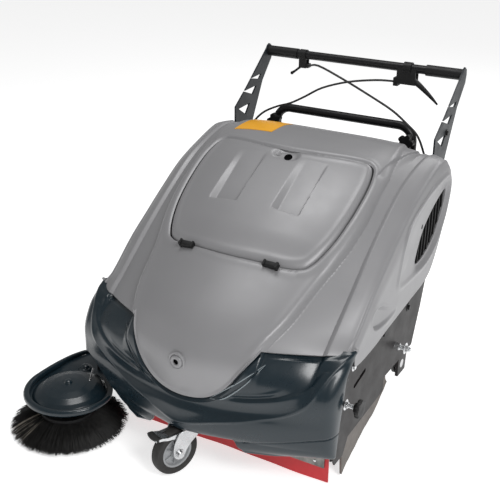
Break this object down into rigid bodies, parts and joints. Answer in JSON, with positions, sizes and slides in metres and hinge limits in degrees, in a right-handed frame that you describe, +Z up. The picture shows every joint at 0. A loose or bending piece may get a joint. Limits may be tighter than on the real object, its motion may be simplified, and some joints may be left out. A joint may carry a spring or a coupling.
{
  "type": "walk-behind floor sweeper",
  "caption": "Walk-behind floor sweeper with a moulded hood, cylindrical main brush, side brush, front caster, rear drive wheels, pull-out hopper and push handle.",
  "frame": {"origin": "on the floor under the middle of the object's bounding box", "axes": "+X to the machine's left, +Y towards the operator at the rear, +Z up"},
  "size_m": [0.934, 1.15, 0.861],
  "materials": {
    "silver_shell": "satin silver-grey moulded plastic",
    "petrol_shell": "satin dark petrol moulded plastic",
    "frame_steel": "dark grey-brown powder coat",
    "slate_steel": "dark slate powder coat",
    "black_steel": "black powder coat",
    "black_plastic": "fine-grain black plastic",
    "grey_bin": "grey moulded plastic",
    "zinc": "zinc plated steel",
    "steel": "bright steel",
    "taupe_rubber": "grey-brown rubber",
    "black_rubber": "black rubber",
    "red_rubber": "red rubber",
    "tyre_rubber": "black tyre rubber",
    "grey_rim": "light grey wheel centre",
    "bristle": "black synthetic bristle",
    "filter_paper": "pleated filter paper"
  },
  "bodies": {
    "chassis": {"left_side_plate": "frame_steel", "right_side_plate": "frame_steel", "front_cross_member": "frame_steel", "rear_cross_member": "frame_steel", "battery_tray": "frame_steel", "debris_ramp": "frame_steel", "hood": "silver_shell", "hood_lock": "zinc", "front_bumper": "petrol_shell", "lid_hinge_mounts": "black_plastic", "side_skirts": "taupe_rubber", "rear_flap": "black_rubber", "left_handle_plate": "slate_steel", "right_handle_plate": "slate_steel", "handle_bar": "black_steel", "handle_grips": "black_plastic", "flap_lever_mount": "black_plastic", "drive_lever_mount": "black_plastic", "flap_cable": "black_rubber", "drive_cable": "black_rubber", "control_panel": "black_plastic", "batteries": "black_plastic", "suction_fan_housing": "black_plastic", "panel_filter": "filter_paper", "drive_motor": "black_steel", "axle_bearings": "frame_steel", "fasteners": "steel", "traction_belt": "black_rubber"},
    "lid_door": {"lid": "silver_shell"},
    "caster_swivel_body": {"caster_fork": "zinc", "caster_axle": "steel"},
    "caster_brake_body": {"brake_pedal": "zinc"},
    "caster_wheel": {"caster_tyre": "tyre_rubber", "caster_rim": "grey_rim"},
    "side_brush_carrier": {"side_brush_arm": "frame_steel", "side_brush_cover": "petrol_shell", "side_brush_motor": "black_plastic"},
    "side_brush": {"side_brush_disc": "black_plastic", "side_brush_bristles": "bristle"},
    "brush_carrier": {"brush_arms": "frame_steel", "brush_belt": "black_rubber"},
    "main_brush": {"main_brush_core": "frame_steel", "main_brush_bristles": "bristle"},
    "motor_rotor": {"motor_shaft": "steel"},
    "height_lock": {"height_knob": "black_plastic"},
    "drive_wheels": {"drive_axle": "steel", "wheel_hubs": "black_plastic", "wheel_tyres": "tyre_rubber"},
    "belt_idler": {"idler_arm": "steel"},
    "hopper_drawer": {"hopper": "grey_bin", "hopper_handle": "black_steel"},
    "left_knob": {"left_hopper_knob": "black_plastic"},
    "right_knob": {"right_hopper_knob": "black_plastic"},
    "flap": {"front_flap": "red_rubber", "flap_strip": "zinc"},
    "flap_control": {"flap_lever": "black_plastic"},
    "drive_control": {"drive_lever": "black_plastic"},
    "fan": {"fan_impeller": "zinc"},
    "key": {"key_switch": "zinc"}
  },
  "joints": [
    {"name": "lid_hinge", "type": "hinge", "parent": "chassis", "child": "lid_door", "pos_m": [0.059, -0.20603, 0.5085], "axis": [1, 0, 0], "range_deg": [0, 75]},
    {"name": "caster_swivel", "type": "hinge", "parent": "chassis", "child": "caster_swivel_body", "pos_m": [0.059, -0.3975, 0.1], "axis": [0, 0, 1], "continuous": true},
    {"name": "caster_roll", "type": "hinge", "parent": "caster_swivel_body", "child": "caster_wheel", "pos_m": [0.04499, -0.43497, 0.0625], "axis": [0.9367, -0.3502, 0], "continuous": true},
    {"name": "caster_brake", "type": "hinge", "parent": "caster_swivel_body", "child": "caster_brake_body", "pos_m": [0.0534, -0.41249, 0.112], "axis": [0.9367, -0.3502, 0], "range_deg": [0, 8]},
    {"name": "side_brush_lift", "type": "hinge", "parent": "chassis", "child": "side_brush_carrier", "pos_m": [-0.306, -0.1615, 0.152], "axis": [-1, 0, 0], "range_deg": [0, 5]},
    {"name": "side_brush_spin", "type": "hinge", "parent": "side_brush_carrier", "child": "side_brush", "pos_m": [-0.309, -0.4165, 0.06], "axis": [0, 0, 1], "continuous": true},
    {"name": "brush_height", "type": "hinge", "parent": "chassis", "child": "brush_carrier", "pos_m": [0.059, 0.0455, 0.25], "axis": [-1, 0, 0], "range_deg": [0, 4]},
    {"name": "main_brush_spin", "type": "hinge", "parent": "brush_carrier", "child": "main_brush", "pos_m": [0.059, -0.1145, 0.125], "axis": [1, 0, 0], "continuous": true},
    {"name": "motor_shaft_spin", "type": "hinge", "parent": "chassis", "child": "motor_rotor", "pos_m": [0.059, 0.0455, 0.25], "axis": [1, 0, 0], "continuous": true},
    {"name": "height_knob_turn", "type": "hinge", "parent": "brush_carrier", "child": "height_lock", "pos_m": [0.459, -0.2755, 0.233], "axis": [1, 0, 0], "continuous": true},
    {"name": "axle_spin", "type": "hinge", "parent": "chassis", "child": "drive_wheels", "pos_m": [0.059, 0.1405, 0.125], "axis": [1, 0, 0], "continuous": true},
    {"name": "idler_swing", "type": "hinge", "parent": "chassis", "child": "belt_idler", "pos_m": [0.401, 0.0975, 0.238], "axis": [-1, 0, 0], "range_deg": [0, 2]},
    {"name": "hopper_slide", "type": "slide", "parent": "chassis", "child": "hopper_drawer", "axis": [0, 1, 0], "range_m": [0, 0.35]},
    {"name": "left_knob_turn", "type": "hinge", "parent": "hopper_drawer", "child": "left_knob", "pos_m": [0.27, 0.4205, 0.662], "axis": [0, 1, 0], "continuous": true},
    {"name": "right_knob_turn", "type": "hinge", "parent": "hopper_drawer", "child": "right_knob", "pos_m": [-0.152, 0.4205, 0.662], "axis": [0, 1, 0], "continuous": true},
    {"name": "front_flap_swing", "type": "hinge", "parent": "chassis", "child": "flap", "pos_m": [0.059, -0.287, 0.08], "axis": [1, 0, 0], "range_deg": [0, 30]},
    {"name": "flap_lever_pull", "type": "hinge", "parent": "chassis", "child": "flap_control", "pos_m": [-0.134, 0.5585, 0.808], "axis": [0, 1, 0], "range_deg": [0, 22]},
    {"name": "drive_lever_pull", "type": "hinge", "parent": "chassis", "child": "drive_control", "pos_m": [0.223, 0.5585, 0.806], "axis": [0, -1, 0], "range_deg": [0, 22]},
    {"name": "fan_spin", "type": "hinge", "parent": "chassis", "child": "fan", "pos_m": [0.059, 0.1685, 0.63], "axis": [0, 0, 1], "continuous": true},
    {"name": "key_turn", "type": "hinge", "parent": "chassis", "child": "key", "pos_m": [-0.001, 0.3855, 0.625], "axis": [0, 1, 0], "range_deg": [0, 90]}
  ],
  "couplings": [
    {"joint": "motor_shaft_spin", "follows": "main_brush_spin", "ratio": 1.4},
    {"joint": "flap_lever_pull", "follows": "front_flap_swing", "ratio": 0.72},
    {"joint": "idler_swing", "follows": "drive_lever_pull", "ratio": 0.09}
  ]
}
